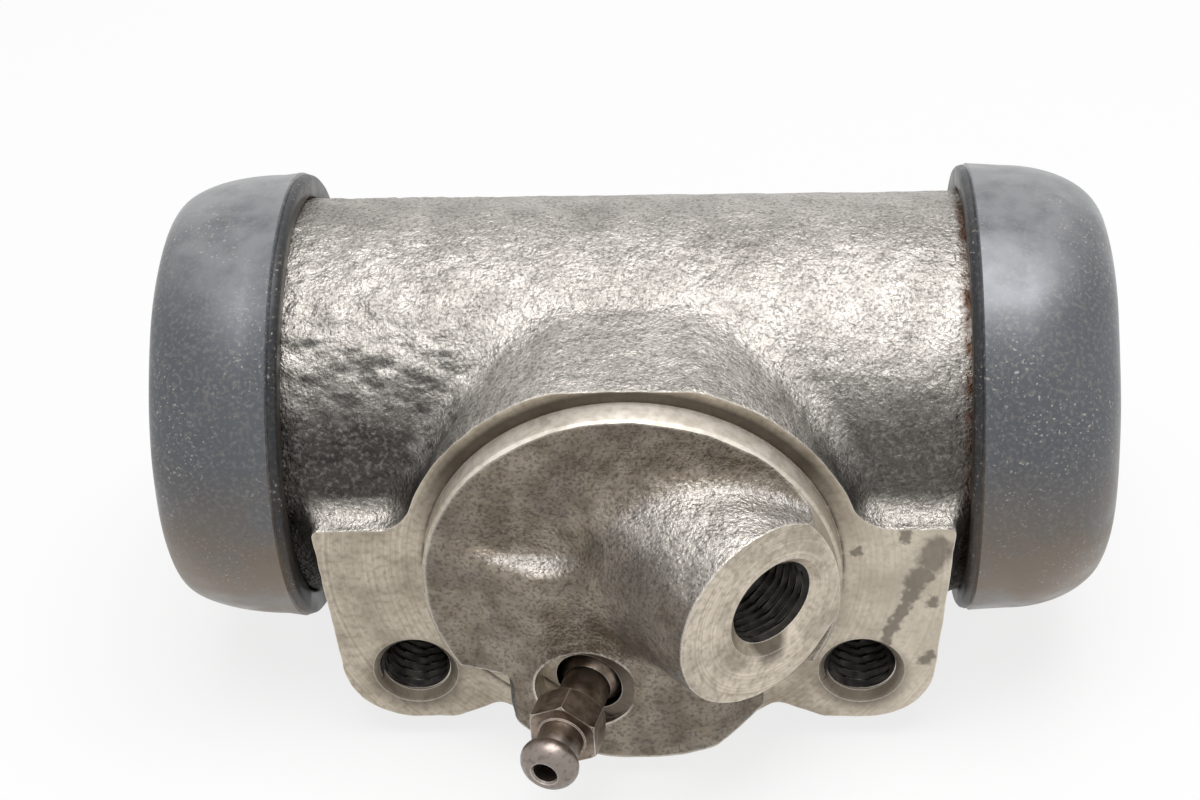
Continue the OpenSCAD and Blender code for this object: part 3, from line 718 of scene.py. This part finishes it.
def spring_half(name, side):
    """Half of the return spring: held in the middle, with a closed turn at its outer end."""
    reach = SPRING_HALF - 2 * WIRE_R
    across = np.linspace(0, reach, 201)
    share = across / reach
    # Wider pitch where a push of the piston would press the coils most, so that they would stay clear of
    # each other
    pressed = 1 - STROKE_IN / reach * 6 * share * (1 - share)
    turned = np.cumsum(pressed ** 0.55)
    turned = (turned - turned[0]) * HALF_TURNS / (turned[-1] - turned[0])
    steps, sides = 40, 12
    rows = (HALF_TURNS + 1) * steps + 1
    points = []
    for i in range(rows):
        turn = i / steps
        middle = np.interp(turn, turned, across) + 2 * WIRE_R * max(0, turn - HALF_TURNS)
        for k in range(sides):
            b = 2 * math.pi * k / sides
            radius = COIL_R + WIRE_R * math.cos(b)
            height = side * middle + WIRE_R * math.sin(b)
            points.append(round_axis(on_bore(1), radius, 2 * math.pi * turn * side, height))
    ends = [tuple(range(sides)), tuple(range((rows - 1) * sides, rows * sides))]
    obj = piece_from(name, points, swept_walls(rows, sides, False) + ends)
    face_outward(obj)
    obj.data.materials.append(DRAWN)
    shade(obj, 50)
    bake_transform(obj)
    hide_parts("return_spring")


cast_body()
spring_half("spring_half_left", -1)
spring_half("spring_half_right", 1)
dust_boot("dust_boot_left", side=-1, end=36.0, rim=24.75, radial=3.9, axial=11.1, face=50.1, rise=0.0)
dust_boot("dust_boot_right", side=1, end=34.8, rim=24.5, radial=6.5, axial=10.5, face=50.3, rise=0.3)
bleeder()
for node, surface in (("piston", ALLOY), ("cup", SEAL_AND_RIM_SHADE), ("cup_expander", DRAWN)):
    for end in ("left", "right"):
        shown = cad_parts[node + "_" + end].data.materials
        shown.clear()
        shown.append(surface)


# Stage, light and camera

def seen_directly(tree):
    """1 for rays of the camera, reflections and glass, 0 for the light that falls on the part."""
    rays = add(tree, "LightPath").outputs
    seen = rays["Is Camera Ray"]
    for other in ("Is Glossy Ray", "Is Transmission Ray"):
        seen = add(tree, "Math", {0: seen, 1: rays[other]}, operation="MAXIMUM").outputs[0]
    return seen


def white_floor():
    """Pale floor that the camera and reflections see as white, with a soft shadow."""
    corners = [(x * FLOOR_REACH, y * FLOOR_REACH, FLOOR_Z) for x, y in ((-1, -1), (1, -1), (1, 1), (-1, 1))]
    floor = piece_from("floor", corners, [(0, 1, 2, 3)])
    made = bpy.data.materials.new("white_paper")
    made.use_nodes = True
    tree = made.node_tree
    tree.nodes.clear()
    paper = add(tree, "BsdfDiffuse", {"Color": linear("f4f4f4")})
    glow = add(tree, "Emission", {"Color": (1, 1, 1, 1), "Strength": 1.0})
    share = masked(tree, seen_directly(tree), 0.8)
    both = add(tree, "MixShader", {0: share, 1: paper.outputs[0], 2: glow.outputs[0]})
    add(tree, "OutputMaterial", {"Surface": both.outputs[0]})
    floor.data.materials.append(made)


def studio_world():
    """White for what the camera and reflections see, a dim fill for the rest."""
    world = bpy.data.worlds.new("studio")
    bpy.context.scene.world = world
    world.use_nodes = True
    tree = world.node_tree
    level = add(tree, "MapRange", {"Value": seen_directly(tree), "To Min": 0.35, "To Max": 1.0})
    back = tree.nodes["Background"]
    back.inputs["Color"].default_value = (1, 1, 1, 1)
    tree.links.new(level.outputs[0], back.inputs["Strength"])


def soft_box(name, place, target, width, depth, watts):
    """Soft box in metres that faces its target and stays out of sight."""
    light = bpy.data.lights.new(name, "AREA")
    light.shape = "RECTANGLE"
    light.size = width
    light.size_y = depth
    light.energy = watts
    obj = bpy.data.objects.new(name, light)
    bpy.context.scene.collection.objects.link(obj)
    obj.location = place
    obj.rotation_euler = (Vector(target) - Vector(place)).to_track_quat("-Z", "Y").to_euler()
    obj.visible_camera = False


def photo_camera():
    """Camera of the photograph: 73 mm lens, about 0.25 m away, 37 degrees above level."""
    lens = bpy.data.cameras.new("camera")
    lens.lens = LENS
    lens.clip_start = 0.01
    obj = bpy.data.objects.new("camera", lens)
    bpy.context.scene.collection.objects.link(obj)
    right = CAMERA_RIGHT.normalized()
    up = (CAMERA_UP - right * CAMERA_UP.dot(right)).normalized()
    turn = Matrix((right, up, right.cross(up))).transposed().to_4x4()
    obj.matrix_world = Matrix.Translation(CAMERA_PLACE * MM) @ turn
    bpy.context.scene.camera = obj


white_floor()
studio_world()
soft_box("overhead", (0.05, -0.03, 0.60), (0, 0.02, 0), width=0.58, depth=0.36, watts=3.45)
photo_camera()
bpy.context.scene.view_settings.view_transform = "Standard"
